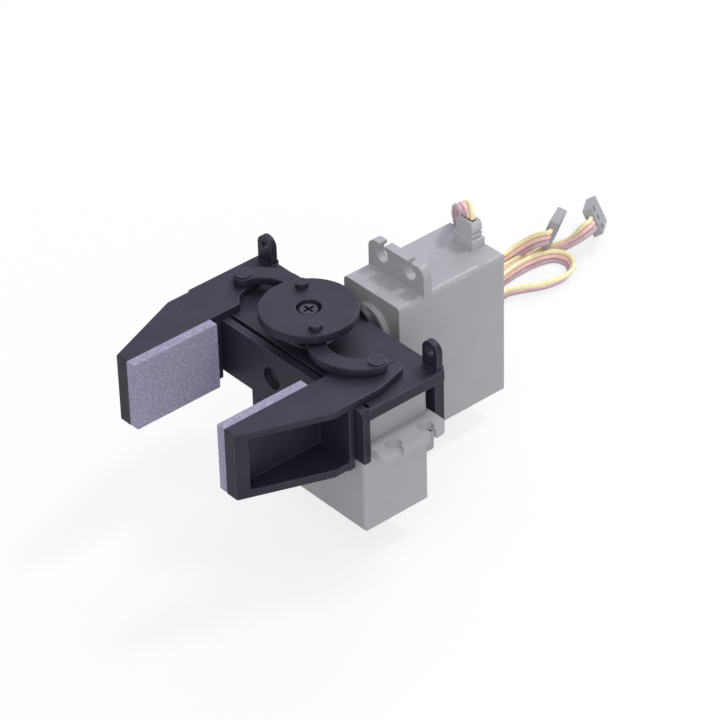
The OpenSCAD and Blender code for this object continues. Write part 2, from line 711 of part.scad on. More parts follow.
module servo_posts() for (y = [-1, 1]) translate([servo_mid - hole_long / 2, y * hole_wide / 2, 0])
    difference() {
        translate([0, 0, -deck_t - flange_drop]) cylinder(r = 2.5, h = flange_drop + cut);
        translate([0, 0, -deck_t - flange_drop - cut]) cylinder(r = mount_screw_r + slip, h = 6);
    }

module guide_groove() {
    long = 2 * deck_half - 1.8;
    translate([-long / 2, -front_in, -groove_d]) cube([long, groove_w, groove_d + cut]);
    translate([-long / 2, -front_in, -groove_d])
        cube([long, groove_w + undercut, groove_d - groove_lip]);
}

module horn_holes() translate([0, deck_back - cut, -wrist_drop]) rotate([-90, 0, 0]) {
    cylinder(r = centre_head_r + 0.6, h = plate_t + 2 * cut);
    for (a = [0, 90, 180]) rotate(a) translate([horn_pcd_r, 0, 0])
        cylinder(r = horn_screw_r + slip, h = plate_t + 2 * cut);
}

module finger_plan() difference() {
    union() {
        polygon([[finger_in, -finger_len], [tip_out, -finger_len], [finger_out, -taper_y],
            [finger_out, -4], [lobe_x + lobe_r, lobe_y], [lobe_x - lobe_r, lobe_y],
            [close_travel + hub_cut_r, 0], [finger_in, 0]]);
        translate([lobe_x, lobe_y]) circle(lobe_r);
    }
    translate([close_travel, 0]) circle(hub_cut_r);
    translate([finger_pin_x, 0]) circle(finger_pin_r + slip);
}

module finger_body_plan() intersection() {
    finger_plan();
    translate([0, -finger_len - 1]) square([finger_out + 1, finger_len + 1 - body_back]);
}

module finger() {
    pocket_back = -body_back - finger_wall;
    translate([0, 0, finger_low]) linear_extrude(finger_top_t) finger_plan();
    difference() {
        translate([0, 0, -finger_deep]) linear_extrude(finger_deep + finger_low + cut) finger_body_plan();
        translate([finger_in + finger_wall, -finger_len + finger_tip_t, -finger_deep + finger_bottom_t])
            cube([finger_out, finger_len - finger_tip_t + pocket_back,
                finger_deep - finger_bottom_t + finger_low]);
    }
    translate([finger_in, -front_in + guide_gap, -groove_d + guide_gap]) {
        cube([finger_out - finger_in, tongue_t, groove_d - guide_gap + finger_low + cut]);
        cube([finger_out - finger_in, tongue_t + undercut, groove_d - groove_lip - 2 * guide_gap]);
    }
}

module pad() translate([finger_in - pad_t, -finger_len + 0.1, -finger_deep + 0.1])
    cube([pad_t, pad_len, pad_h - 0.1]);

module link_plan() {
    centre = [0, link_arc_r - link_bow];
    difference() {
        union() {
            translate(centre) intersection() {
                difference() {
                    circle(link_arc_r + link_w / 2, $fn = 128);
                    circle(link_arc_r - link_w / 2, $fn = 128);
                }
                sector(link_half_angle, 2 * link_arc_r);
            }
            for (s = [-1, 1]) translate([s * link_l / 2, 0]) circle(link_eye_r);
        }
        translate([link_l / 2, 0]) circle(finger_pin_r + shaft_gap);
        translate([-link_l / 2, 0]) circle(crank_pin_r + shaft_gap);
    }
}

// Wedge that opens towards -Y, half_angle to each side
module sector(half_angle, r) polygon([[0, 0], [-r * tan(half_angle), -r], [r * tan(half_angle), -r]]);

module link() translate([(finger_pin_x + crank_x) / 2, crank_y / 2, link_z]) rotate(link_tilt)
    linear_extrude(link_t) link_plan();

module finger_pin() translate([finger_pin_x, 0, 0]) {
    neck_top = link_z + link_t + seat / 2;
    translate([0, 0, finger_low]) cylinder(r = finger_pin_r, h = neck_top - finger_low + cut);
    translate([0, 0, neck_top]) cylinder(r = finger_pin_head_r, h = 0.4);
}

module left_finger() color(black) in_gripper() mirror([1, 0, 0]) finger();
module right_finger() color(black) in_gripper() finger();
module left_pad() color([0.74, 0.73, 0.8]) in_gripper() mirror([1, 0, 0]) pad();
module right_pad() color([0.74, 0.73, 0.8]) in_gripper() pad();
module left_link() color(black) in_gripper() rotate(180) link();
module right_link() color(black) in_gripper() link();
module left_finger_pin() color(black) in_gripper() rotate(180) finger_pin();
module right_finger_pin() color(black) in_gripper() finger_pin();

module drive_disc() color(black) in_gripper() difference() {
    union() {
        disc_at(0, 0, disc_z, disc_r, disc_t);
        disc_at(0, 0, hub_bottom, hub_r, finger_top - hub_bottom);
        disc_at(0, 0, finger_top - cut, neck_r, disc_z - finger_top + 2 * cut);
    }
    disc_at(0, 0, disc_seat, recess_r, recess_d + cut);
    disc_at(0, 0, hub_bottom - cut, spline_r + slip, socket_top - hub_bottom + cut);
    disc_at(0, 0, socket_top - cut, centre_screw_r + slip, disc_seat - socket_top + 2 * cut);
    at_cranks() translate([0, 0, disc_z - cut]) cylinder(r = crank_pin_r + slip, h = disc_t + 2 * cut);
}

module at_cranks() for (a = [0, 180]) rotate(a) translate([crank_x, crank_y, 0]) children();

module crank_pins() color(black) in_gripper() at_cranks() translate([0, 0, crank_pin_low])
    cylinder(r = crank_pin_r, h = disc_top + crank_pin_proud - crank_pin_low);

// Screw with its head's underside at Z = 0 and its shank below
module headed_screw(head_r, head_h, shank_r, shank_l) difference() {
    union() {
        cylinder(r = head_r, h = head_h);
        translate([0, 0, -shank_l]) cylinder(r = shank_r, h = shank_l + cut);
    }
    for (a = [0, 90]) rotate(a) translate([-head_r * 0.7, -head_r * 0.14, head_h - 0.7])
        cube([head_r * 1.4, head_r * 0.28, 0.7 + cut]);
}

module disc_screw() color(steel) in_gripper() translate([0, 0, disc_seat])
    headed_screw(centre_head_r, centre_head_h, centre_screw_r, disc_seat - socket_top + screw_bite + 1);

module drive_mount_screws() color(steel) in_gripper() for (y = [-1, 1])
    translate([servo_mid - hole_long / 2, y * hole_wide / 2, -deck_t - flange_drop - flange_t])
        rotate([180, 0, 0]) headed_screw(2.6, 1.6, mount_screw_r, flange_t + screw_bite + 1);

module wrist_horn() color(black) in_gripper()
    translate([0, deck_back + plate_t, -wrist_drop]) rotate([-90, 0, 0]) difference() {
        union() {
            cylinder(r = horn_r, h = horn_t);
            cylinder(r = hub_r, h = horn_h);
        }
        translate([0, 0, horn_h + horn_gap - spline_h - seat])
            cylinder(r = spline_r + slip, h = spline_h + 1);
        translate([0, 0, -cut]) cylinder(r = centre_screw_r + slip, h = horn_h);
        for (a = [0 : 90 : 270]) rotate(a) translate([horn_pcd_r, 0, -cut])
            cylinder(r = horn_screw_r + slip, h = horn_t + 2 * cut);
    }

module wrist_horn_screws() color(steel) in_gripper()
    translate([0, deck_back, -wrist_drop]) rotate([90, 0, 0])
        for (a = [0, 180, 270]) rotate(a) translate([horn_pcd_r, 0, 0])
            headed_screw(1.5, 0.9, horn_screw_r, plate_t + horn_t);

module wrist_centre_screw() color(steel) in_gripper()
    translate([0, deck_back + plate_t, -wrist_drop]) rotate([90, 0, 0])
        headed_screw(centre_head_r, centre_head_h, centre_screw_r,
            horn_h + horn_gap - spline_h + screw_bite);

// ---------------------------------------------------------------- drive servo

module drive_gear_cover() color(grey) in_drive_servo() servo_gear_cover();
module drive_case() color(grey) in_drive_servo() servo_case();
module drive_bottom_cover() color(grey) in_drive_servo() servo_bottom_cover();
module drive_case_screws() color(steel) in_drive_servo() servo_case_screws();
module drive_motor() color(steel) in_drive_servo() servo_motor();
module drive_pinion() color(brass) in_drive_servo() servo_pinion();
module drive_gear_1() color(nylon) in_drive_servo() servo_gear_1();
module drive_gear_2() color(nylon) in_drive_servo() servo_gear_2();
module drive_gear_3() color(nylon) in_drive_servo() servo_gear_3();
module drive_output_gear() color(nylon) in_drive_servo() servo_output_gear();
module drive_gear_pin() color(steel) in_drive_servo() servo_gear_pin();
module drive_bush() color(brass) in_drive_servo() servo_bush();
module drive_potentiometer() color(black) in_drive_servo() servo_potentiometer();
module drive_circuit_board() color([0.15, 0.4, 0.25]) in_drive_servo() servo_circuit_board();
module drive_strain_relief() color([0.4, 0.4, 0.43]) in_drive_servo() servo_strain_relief();
module drive_lead() color([0.85, 0.7, 0.35]) tube(drive_route, lead_r);
module drive_plug() color(black) plug_on(drive_route, -70);

// ---------------------------------------------------------------- wrist servo

module wrist_gear_cover() color(grey) in_wrist_servo() servo_gear_cover();
module wrist_case() color(grey) in_wrist_servo() servo_case();
module wrist_bottom_cover() color(grey) in_wrist_servo() servo_bottom_cover();
module wrist_case_screws() color(steel) in_wrist_servo() servo_case_screws();
module wrist_motor() color(steel) in_wrist_servo() servo_motor();
module wrist_pinion() color(brass) in_wrist_servo() servo_pinion();
module wrist_gear_1() color(nylon) in_wrist_servo() servo_gear_1();
module wrist_gear_2() color(nylon) in_wrist_servo() servo_gear_2();
module wrist_gear_3() color(nylon) in_wrist_servo() servo_gear_3();
module wrist_output_gear() color(nylon) in_wrist_servo() servo_output_gear();
module wrist_gear_pin() color(steel) in_wrist_servo() servo_gear_pin();
module wrist_bush() color(brass) in_wrist_servo() servo_bush();
module wrist_potentiometer() color(black) in_wrist_servo() servo_potentiometer();
module wrist_circuit_board() color([0.15, 0.4, 0.25]) in_wrist_servo() servo_circuit_board();
module wrist_strain_relief() color([0.4, 0.4, 0.43]) in_wrist_servo() servo_strain_relief();
module wrist_lead() color([0.85, 0.7, 0.35]) tube(wrist_route, lead_r);
module wrist_plug() color(black) plug_on(wrist_route, 63);

// Plug that carries on from the end of a lead's route, turned about its length by roll
module plug_on(route, roll) {
    last = route[len(route) - 1];
    t = unit(last - route[len(route) - 2]);
    translate(last) rotate([0, asin(-t.z), atan2(t.y, t.x)]) rotate([roll, 0, 0]) lead_plug();
}

base_frame();
left_finger();
right_finger();
left_pad();
right_pad();
left_link();
right_link();
left_finger_pin();
right_finger_pin();
drive_disc();
crank_pins();
disc_screw();
drive_mount_screws();
wrist_horn();
wrist_horn_screws();
wrist_centre_screw();
drive_gear_cover();
drive_case();
drive_bottom_cover();
drive_case_screws();
drive_motor();
drive_pinion();
drive_gear_1();
drive_gear_2();
drive_gear_3();
drive_output_gear();
drive_gear_pin();
drive_bush();
drive_potentiometer();
drive_circuit_board();
drive_strain_relief();
drive_lead();
drive_plug();
wrist_gear_cover();
wrist_case();
wrist_bottom_cover();
wrist_case_screws();
wrist_motor();
wrist_pinion();
wrist_gear_1();
wrist_gear_2();
wrist_gear_3();
wrist_output_gear();
wrist_gear_pin();
wrist_bush();
wrist_potentiometer();
wrist_circuit_board();
wrist_strain_relief();
wrist_lead();
wrist_plug();
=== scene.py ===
"""Finish, leads and stage for an electric two finger gripper, laid out as a Blender add-on.

Everything is in metres in the part's own frame: the origin is the centre of the four holes in
the wrist servo's flange, the fingers point along -Y and the drive disc is on top.
"""

import math

import bpy
import bmesh
from bpy.props import FloatProperty, FloatVectorProperty, IntProperty, PointerProperty
from mathutils import Matrix, Vector


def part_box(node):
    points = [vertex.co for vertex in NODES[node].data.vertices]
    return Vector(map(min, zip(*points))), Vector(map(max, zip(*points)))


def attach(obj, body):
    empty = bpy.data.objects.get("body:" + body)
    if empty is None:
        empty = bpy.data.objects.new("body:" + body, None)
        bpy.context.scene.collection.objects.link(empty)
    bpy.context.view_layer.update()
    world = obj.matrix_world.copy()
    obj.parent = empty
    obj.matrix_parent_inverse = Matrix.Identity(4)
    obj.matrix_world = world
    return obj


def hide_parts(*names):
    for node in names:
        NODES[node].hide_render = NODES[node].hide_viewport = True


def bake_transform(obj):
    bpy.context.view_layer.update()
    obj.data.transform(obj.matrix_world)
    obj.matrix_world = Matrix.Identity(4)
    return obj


bl_info = {
    "name": "Two finger gripper",
    "version": (1, 0, 0),
    "blender": (4, 5, 0),
    "location": "View3D > Sidebar > Gripper",
    "description": "Dresses the two finger gripper and sets its stage",
    "category": "Object",
}

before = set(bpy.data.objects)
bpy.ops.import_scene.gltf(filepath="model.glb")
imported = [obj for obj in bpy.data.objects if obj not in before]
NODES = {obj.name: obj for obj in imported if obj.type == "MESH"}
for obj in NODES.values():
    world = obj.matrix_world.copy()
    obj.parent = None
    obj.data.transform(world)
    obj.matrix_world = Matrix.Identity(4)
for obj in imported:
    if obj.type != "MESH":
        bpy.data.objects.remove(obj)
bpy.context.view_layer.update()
FLOOR_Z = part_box("wrist_case")[0].z

MM_PER_M = 1000
WELD_GAP = 0.000002  # corners of a CAD mesh this near each other are one corner
EDGE_HIGHLIGHT_WIDTH = 0.0003  # width of the painted highlight line along the black parts' edges
SCREW_EDGE = 0.0001  # rounding of the screws' edges
WIRE_SIDES = 10  # sides of a wire's outline

WHITE = (1, 1, 1, 1)
WHITE_LIGHT = (1, 1, 1)
COOL_LIGHT = (0.70, 0.71, 1)

FLOOR_SIZE = 8.0
FLOOR_GAP = 0.0001  # the floor lies this far below the part, so that no faces coincide
FLOOR_BOUNCE = (0.75, 0.75, 0.76, 1)  # the floor's colour as the part's surfaces see it
FLOOR_GLOW = 0.78  # share of the floor's look that is plain white, and the rest keeps the shadow

GRIPPER_NODES = (
    "base_frame", "left_finger", "right_finger", "left_link", "right_link",
    "left_finger_pin", "right_finger_pin", "drive_disc", "crank_pins",
)
PAD_NODES = ("left_pad", "right_pad")
CASE_PARTS = ("gear_cover", "case", "bottom_cover")
SCREW_NODES = (
    "drive_mount_screws", "wrist_horn_screws", "wrist_centre_screw",
    "drive_case_screws", "wrist_case_screws", "drive_gear_pin", "wrist_gear_pin",
)

# Routes of the leads, with the direction of each lead's width at some of its points
WRIST_ROUTE = [
    (0, 23.6, 27.25), (-0.3, 23.6, 28.7), (-1.5, 23.8, 29.5), (-3.4, 24.4, 29.1),
    (-5.5, 25.5, 27.3), (-7.5, 27, 24.1), (-9, 28.9, 20), (-9.9, 30.2, 15), (-10.4, 31, 8),
    (-10.8, 32, 0), (-11.4, 33.6, -8), (-12.8, 36.2, -15.5), (-15.2, 40, -21.5),
    (-18.3, 44.8, -24.8), (-22, 50.4, -25.6), (-24.8, 55.4, -25.6), (-26.3, 60, -25.6),
    (-24.9, 64.2, -25.6), (-22.4, 69.2, -25.6), (-21.3, 74, -25.6), (-21.6, 78, -25.6),
    (-23.6, 81, -25.6), (-26.9, 82.3, -25.6), (-30, 81.2, -25.6), (-31.5, 78.3, -25.6),
    (-32.2, 74, -25.6), (-32.1, 69, -25.6), (-31.4, 64, -25.6), (-30.6, 58.5, -25.6),
    (-30.4, 53.4, -25.6), (-31.9, 49.2, -25.8), (-35.4, 48.6, -26), (-37, 52, -26.2),
    (-36.3, 57, -26.3), (-35.4, 62, -26.3), (-35.1, 67, -26.3), (-35.2, 72, -26.3),
    (-34.9, 77, -26.3), (-33.9, 81, -26.2), (-32.2, 83.8, -25.4), (-30.2, 85.9, -23.9),
    (-28.2, 87.3, -21.7), (-26.6, 88.6, -19.4), (-26.1, 90.6, -18.25), (-27.5, 92.2, -19),
]
WRIST_WIDTH = {
    0: (1, 0, 0), 1: (1, 0.1, 0), 3: (0.6, 0.8, 0.3), 5: (0.2, 1, 0.3), 8: (0.5, 1, 0),
    12: (0.9, 0.2, 0.6), 15: (0.3, -0.3, 0.9), 18: (0.5, -0.2, 0.85), 20: (0.55, 0.1, 0.8),
    22: (0.1, 0.45, 0.9), 24: (-0.3, 0.1, 1), 29: (0, 0, 1), 31: (-0.8, 0, 0.6),
    33: (-1, 0, 0.2), 38: (-1, 0.1, 0.2), 40: (-0.8, 0.6, 0.1), 43: (-0.5, -0.1, 0.85),
    44: (-0.53, -0.08, 0.84),
}
DRIVE_ROUTE = [
    (-16.95, -27.3, -16.6), (-18.85, -27.3, -16.6), (-20.9, -26.4, -16.9), (-22.4, -23.4, -17.8),
    (-23.3, -18.5, -19), (-24.2, -13, -20.3), (-25.8, -7, -22), (-28.6, -1, -23.8),
    (-32.8, 4, -25.1), (-38.5, 7, -25.6), (-45, 8, -25.6), (-52, 9, -25.6), (-57, 12.8, -25.6),
    (-57, 18.6, -25.6), (-51.5, 22.4, -25.6), (-42, 23.4, -25.6), (-31, 23.4, -25.6),
    (-21, 24, -25.6), (-14.2, 27, -25.6), (-12.6, 32.6, -25.6), (-15.6, 37, -25.6),
    (-22, 38.6, -25.6), (-29.5, 38.8, -25.6), (-36.8, 41, -25.6), (-41.2, 46, -25.6),
    (-41.6, 52.5, -25.6), (-40.3, 59, -25.6), (-38.9, 65, -25.6), (-38, 70, -25.6),
    (-37.7, 73.7, -24.9), (-35.6, 76.4, -22.6), (-32.7, 77.5, -20.1), (-30.6, 78.9, -18.95),
    (-31.8, 80.5, -19.6),
]
DRIVE_WIDTH = {
    0: (0, 1, 0), 1: (0, 1, 0), 4: (-0.8, 0, 0.6), 8: (0, 0, 1), 28: (-0.2, 0, 1),
    31: (-0.2, 0.2, 0.95), 33: (0.1, 0.44, 0.9),
}


class FinishSettings(bpy.types.PropertyGroup):
    """Colours and surface grain of the gripper's materials"""

    plastic: FloatVectorProperty(
        name="Gripper plastic", description="Colour of the black moulded plastic",
        subtype="COLOR", size=4, min=0, max=1, default=(0.019, 0.018, 0.034, 1))
    # Painted highlight: a lighter colour laid along the black plastic's edges in place of their
    # gleam
    painted_edge_highlight: FloatVectorProperty(
        name="Painted edge highlight", description="Colour of the black plastic where its edges are polished",
        subtype="COLOR", size=4, min=0, max=1, default=(0.13, 0.125, 0.18, 1))
    pad: FloatVectorProperty(
        name="Grip pad", description="Colour of the foam on the fingers",
        subtype="COLOR", size=4, min=0, max=1, default=(0.33, 0.32, 0.44, 1))
    servo_case: FloatVectorProperty(
        name="Servo case", description="Colour of the servo's moulded case",
        subtype="COLOR", size=4, min=0, max=1, default=(0.40, 0.40, 0.42, 1))
    screw: FloatVectorProperty(
        name="Screws", description="Colour of the plated screws",
        subtype="COLOR", size=4, min=0, max=1, default=(0.28, 0.28, 0.31, 1))
    signal_wire: FloatVectorProperty(
        name="Signal wire", description="Colour of the lead's signal wire",
        subtype="COLOR", size=4, min=0, max=1, default=(1.0, 0.90, 0.54, 1))
    power_wire: FloatVectorProperty(
        name="Power wire", description="Colour of the lead's power wire",
        subtype="COLOR", size=4, min=0, max=1, default=(0.94, 0.64, 0.61, 1))
    ground_wire: FloatVectorProperty(
        name="Ground wire", description="Colour of the lead's ground wire",
        subtype="COLOR", size=4, min=0, max=1, default=(0.62, 0.46, 0.54, 1))
    plug: FloatVectorProperty(
        name="Plug", description="Colour of the leads' plugs and strain reliefs",
        subtype="COLOR", size=4, min=0, max=1, default=(0.36, 0.36, 0.39, 1))
    edge_radius: FloatProperty(
        name="Edge radius", description="Rounding of the moulded parts' edges",
        subtype="DISTANCE", unit="LENGTH", min=0.00005, max=0.0006, default=0.00025)
    grain: FloatProperty(
        name="Grain", description="Size of the moulded plastic's fine grain",
        subtype="DISTANCE", unit="LENGTH", min=0.0001, max=0.002, default=0.00045)


class LeadSettings(bpy.types.PropertyGroup):
    """Sizes of the flat three wire leads"""

    wire_diameter: FloatProperty(
        name="Wire diameter", description="Diameter of one insulated wire",
        subtype="DISTANCE", unit="LENGTH", min=0.0008, max=0.002, default=0.0013)
    wires: IntProperty(
        name="Wires", description="Number of wires side by side in a lead", min=2, max=4, default=3)
    steps: IntProperty(
        name="Steps", description="Rings between two points of a lead's route",
        min=3, max=12, default=6)


class StageSettings(bpy.types.PropertyGroup):
    """Camera, lamps and floor"""

    camera_place: FloatVectorProperty(
        name="Camera place", description="Where the camera stands", subtype="TRANSLATION",
        unit="LENGTH", size=3, default=(0.5730, -0.4955, 0.5415))
    camera_target: FloatVectorProperty(
        name="Camera target", description="Point in the middle of the view", subtype="TRANSLATION",
        unit="LENGTH", size=3, default=(0.01063, -0.02095, 0.0123))
    camera_roll: FloatProperty(
        name="Camera roll", description="Tilt of the camera about its own axis",
        subtype="ANGLE", unit="ROTATION", default=math.radians(-1.589))
    lens: FloatProperty(
        name="Lens", description="Focal length in millimetres on a 36 mm sensor",
        min=20, max=400, default=192.4)
    key_power: FloatProperty(
        name="Key lamp", description="Power of the large lamp overhead", unit="POWER",
        min=0, max=100, default=2.4)
    fill_power: FloatProperty(
        name="Fill lamp", description="Power of the lamp beside the camera", unit="POWER",
        min=0, max=100, default=3.4)
    back_power: FloatProperty(
        name="Back lamp", description="Power of the soft lamp whose gleam lies on the upper faces",
        unit="POWER", min=0, max=100, default=3.1)
    edge_power: FloatProperty(
        name="Edge lamp", description="Power of the small lamp that picks out the edges",
        unit="POWER", min=0, max=100, default=4.5)
    rim_power: FloatProperty(
        name="Rim lamp", description="Power of the small lamp behind that lines the upper edges",
        unit="POWER", min=0, max=100, default=2.5)
    surround: FloatProperty(
        name="Surround", description="Brightness of the white surroundings",
        min=0, max=2, default=0.4)
    floor_colour: FloatVectorProperty(
        name="Floor", description="Colour of the floor", subtype="COLOR", size=4, min=0, max=1,
        default=(0.93, 0.93, 0.94, 1))


# ---------------------------------------------------------------- materials


def new_material(name):
    """An empty node material and its main shader."""
    material = bpy.data.materials.new(name)
    material.use_nodes = True
    return material, material.node_tree, material.node_tree.nodes["Principled BSDF"]


def place_coordinates(tree):
    """Coordinates that stay with the piece."""
    return tree.nodes.new("ShaderNodeTexCoord").outputs["Object"]


def noise(tree, scale, detail=2.0, roughness=0.5):
    """A noise texture in the piece's own coordinates."""
    node = tree.nodes.new("ShaderNodeTexNoise")
    node.inputs["Scale"].default_value = scale
    node.inputs["Detail"].default_value = detail
    node.inputs["Roughness"].default_value = roughness
    tree.links.new(place_coordinates(tree), node.inputs["Vector"])
    return node.outputs["Fac"]


def blended_colour(tree, factor, low, high, start=0.3, end=0.7):
    """A ramp from one colour to another."""
    ramp = tree.nodes.new("ShaderNodeValToRGB")
    ramp.color_ramp.elements[0].position = start
    ramp.color_ramp.elements[0].color = low
    ramp.color_ramp.elements[1].position = end
    ramp.color_ramp.elements[1].color = high
    tree.links.new(factor, ramp.inputs["Fac"])
    return ramp.outputs["Color"]


def shade(colour, amount):
    """The colour, lighter or darker by a factor."""
    return (*[min(1.0, c * amount) for c in tuple(colour)[:3]], 1)


def add_bump(tree, shader, height, distance):
    """Relief of a given depth on the shader."""
    bump = tree.nodes.new("ShaderNodeBump")
    bump.inputs["Strength"].default_value = 1.0
    bump.inputs["Distance"].default_value = distance
    tree.links.new(height, bump.inputs["Height"])
    tree.links.new(bump.outputs["Normal"], shader.inputs["Normal"])


def varied_roughness(tree, shader, factor, low, high):
    """Roughness that follows a texture."""
    spread = tree.nodes.new("ShaderNodeMapRange")
    spread.inputs["To Min"].default_value = low
    spread.inputs["To Max"].default_value = high
    tree.links.new(factor, spread.inputs["Value"])
    tree.links.new(spread.outputs["Result"], shader.inputs["Roughness"])


def edge_factor(tree, radius):
    """One along a piece's sharp edges and zero on its faces."""
    rounded = tree.nodes.new("ShaderNodeBevel")
    rounded.samples = 6
    rounded.inputs["Radius"].default_value = radius
    face = tree.nodes.new("ShaderNodeNewGeometry")
    match = tree.nodes.new("ShaderNodeVectorMath")
    match.operation = "DOT_PRODUCT"
    tree.links.new(rounded.outputs["Normal"], match.inputs[0])
    tree.links.new(face.outputs["Normal"], match.inputs[1])
    spread = tree.nodes.new("ShaderNodeMapRange")
    spread.inputs["From Min"].default_value = 0.98
    spread.inputs["From Max"].default_value = 0.8
    tree.links.new(match.outputs["Value"], spread.inputs["Value"])
    return spread.outputs["Result"]


def paint_edge_highlight(tree, colour, factor, highlight_colour):
    """The colour, with a painted highlight colour where the factor is high."""
    mix = tree.nodes.new("ShaderNodeMixRGB")
    mix.inputs["Color2"].default_value = highlight_colour
    tree.links.new(factor, mix.inputs["Fac"])
    tree.links.new(colour, mix.inputs["Color1"])
    return mix.outputs["Color"]


def moulded_plastic(name, colour, grain, roughness=0.5, mottle=0.1, depth=0.00002, gloss=0.35,
                    highlight_colour=None):
    """Moulded plastic with a fine spark grain, a faint cloudiness and perhaps a painted highlight
    along its edges.
    """
    material, tree, shader = new_material(name)
    shader.inputs["Specular IOR Level"].default_value = gloss
    cloud = noise(tree, scale=110, detail=3, roughness=0.6)
    tint = blended_colour(tree, cloud, shade(colour, 1 - mottle), shade(colour, 1 + mottle))
    # Painted highlight: a lighter colour mixed in along the sharp edges
    if highlight_colour:
        tint = paint_edge_highlight(tree, tint, edge_factor(tree, EDGE_HIGHLIGHT_WIDTH), highlight_colour)
    tree.links.new(tint, shader.inputs["Base Color"])
    fine = noise(tree, scale=1 / grain, roughness=0.7)
    varied_roughness(tree, shader, fine, low=roughness - 0.08, high=roughness + 0.12)
    add_bump(tree, shader, fine, depth)
    return material


def foam(name, colour):
    """Closed cell foam: pale cells with darker specks between them."""
    material, tree, shader = new_material(name)
    cells = noise(tree, scale=2600, detail=4, roughness=0.8)
    tint = blended_colour(tree, cells, shade(colour, 0.62), shade(colour, 1.36),
                          start=0.38, end=0.62)
    tree.links.new(tint, shader.inputs["Base Color"])
    shader.inputs["Roughness"].default_value = 0.85
    shader.inputs["Specular IOR Level"].default_value = 0.2
    add_bump(tree, shader, cells, distance=0.00006)
    return material


def plated_steel(name, colour, roughness=0.32):
    """Plated screw steel with fine turning marks."""
    material, tree, shader = new_material(name)
    marks = noise(tree, scale=2500, detail=3, roughness=0.6)
    tint = blended_colour(tree, marks, shade(colour, 0.85), shade(colour, 1.15))
    tree.links.new(tint, shader.inputs["Base Color"])
    shader.inputs["Metallic"].default_value = 1.0
    varied_roughness(tree, shader, marks, low=roughness - 0.06, high=roughness + 0.12)
    add_bump(tree, shader, marks, distance=0.000008)
    return material


def insulation(name, colour):
    """Soft insulation of a wire, faintly uneven."""
    material, tree, shader = new_material(name)
    uneven = noise(tree, scale=700)
    tint = blended_colour(tree, uneven, shade(colour, 0.92), shade(colour, 1.06))
    tree.links.new(tint, shader.inputs["Base Color"])
    shader.inputs["Roughness"].default_value = 0.45
    add_bump(tree, shader, uneven, distance=0.00002)
    return material


def solder_mask(name, colour):
    """Board lacquer over faint copper tracks."""
    material, tree, shader = new_material(name)
    tracks = tree.nodes.new("ShaderNodeTexVoronoi")
    tracks.inputs["Scale"].default_value = 900
    tree.links.new(place_coordinates(tree), tracks.inputs["Vector"])
    tint = blended_colour(tree, tracks.outputs["Distance"], shade(colour, 0.8), shade(colour, 1.5))
    tree.links.new(tint, shader.inputs["Base Color"])
    shader.inputs["Roughness"].default_value = 0.3
    return material


# ---------------------------------------------------------------- meshes


def round_edges(piece, radius):
    """Rounds the sharp edges of a CAD piece without changing its own mesh."""
    weld = piece.modifiers.new("Join faces", "WELD")
    weld.merge_threshold = WELD_GAP
    bevel = piece.modifiers.new("Round edges", "BEVEL")
    bevel.width = radius
    bevel.segments = 2
    bevel.limit_method = "ANGLE"
    bevel.angle_limit = math.radians(35)
    bevel.use_clamp_overlap = True
    bevel.harden_normals = False


def dress(names, material, radius=0.0):
    """Gives CAD pieces a material and rounds their edges."""
    for name in names:
        piece = NODES[name]
        piece.data.materials.clear()
        piece.data.materials.append(material)
        if radius:
            round_edges(piece, radius)


def smooth_route(points, steps):
    """A smooth line through the points, in metres, as a list of positions and route parameters."""
    places = [Vector(p) / MM_PER_M for p in points]
    line = []
    last = len(places) - 1
    for i in range(last):
        a, b, c, d = (places[min(max(k, 0), last)] for k in (i - 1, i, i + 1, i + 2))
        for s in range(steps):
            t = s / steps
            place = 0.5 * (2 * b + (c - a) * t + (2 * a - 5 * b + 4 * c - d) * t * t
                           + (3 * b - a - 3 * c + d) * t ** 3)
            line.append((place, i + t))
    line.append((places[-1], float(last)))
    return line


def width_at(keys, position):
    """Direction of the lead's width at a route parameter, between the given ones."""
    marks = sorted(keys)
    if position <= marks[0]:
        return Vector(keys[marks[0]])
    for a, b in zip(marks, marks[1:]):
        if position <= b:
            t = (position - a) / (b - a)
            t = t * t * (3 - 2 * t)
            return Vector(keys[a]).lerp(Vector(keys[b]), t)
    return Vector(keys[marks[-1]])


def wire_ring(mesh, line, i, keys, offset, radius):
    """Corners of one wire's outline at a point of the lead's line, beside it by the offset."""
    place, position = line[i]
    ahead = line[min(i + 1, len(line) - 1)][0] - line[max(i - 1, 0)][0]
    tangent = ahead.normalized()
    wide = width_at(keys, position)
    wide = (wide - wide.dot(tangent) * tangent).normalized()
    thin = tangent.cross(wide)
    centre = place + wide * offset
    ring = []
    for k in range(WIRE_SIDES):
        angle = 2 * math.pi * k / WIRE_SIDES
        out = math.cos(angle) * wide + math.sin(angle) * thin
        ring.append(mesh.verts.new(centre + radius * out))
    return ring


def ribbon(name, line, keys, lead, materials):
    """A flat lead: wires side by side that follow one line."""
    mesh = bmesh.new()
    for wire in range(lead.wires):
        offset = (wire - (lead.wires - 1) / 2) * lead.wire_diameter
        rings = [wire_ring(mesh, line, i, keys, offset, lead.wire_diameter / 2)
                 for i in range(len(line))]
        for a, b in zip(rings, rings[1:]):
            for k in range(WIRE_SIDES):
                n = (k + 1) % WIRE_SIDES
                face = mesh.faces.new((a[k], a[n], b[n], b[k]))
                face.material_index = wire
                face.smooth = True
        for ring, order in ((rings[0], -1), (rings[-1], 1)):
            face = mesh.faces.new(ring[::order])
            face.material_index = wire
    data = bpy.data.meshes.new(name)
    mesh.to_mesh(data)
    mesh.free()
    piece = bpy.data.objects.new(name, data)
    bpy.context.scene.collection.objects.link(piece)
    for material in materials:
        data.materials.append(material)
    return piece


def lead_materials(finish):
    """The three insulation colours, shared by both leads."""
    colours = (("Ground wire", finish.ground_wire), ("Power wire", finish.power_wire),
               ("Signal wire", finish.signal_wire))
    return [bpy.data.materials.get(name) or insulation(name, colour) for name, colour in colours]


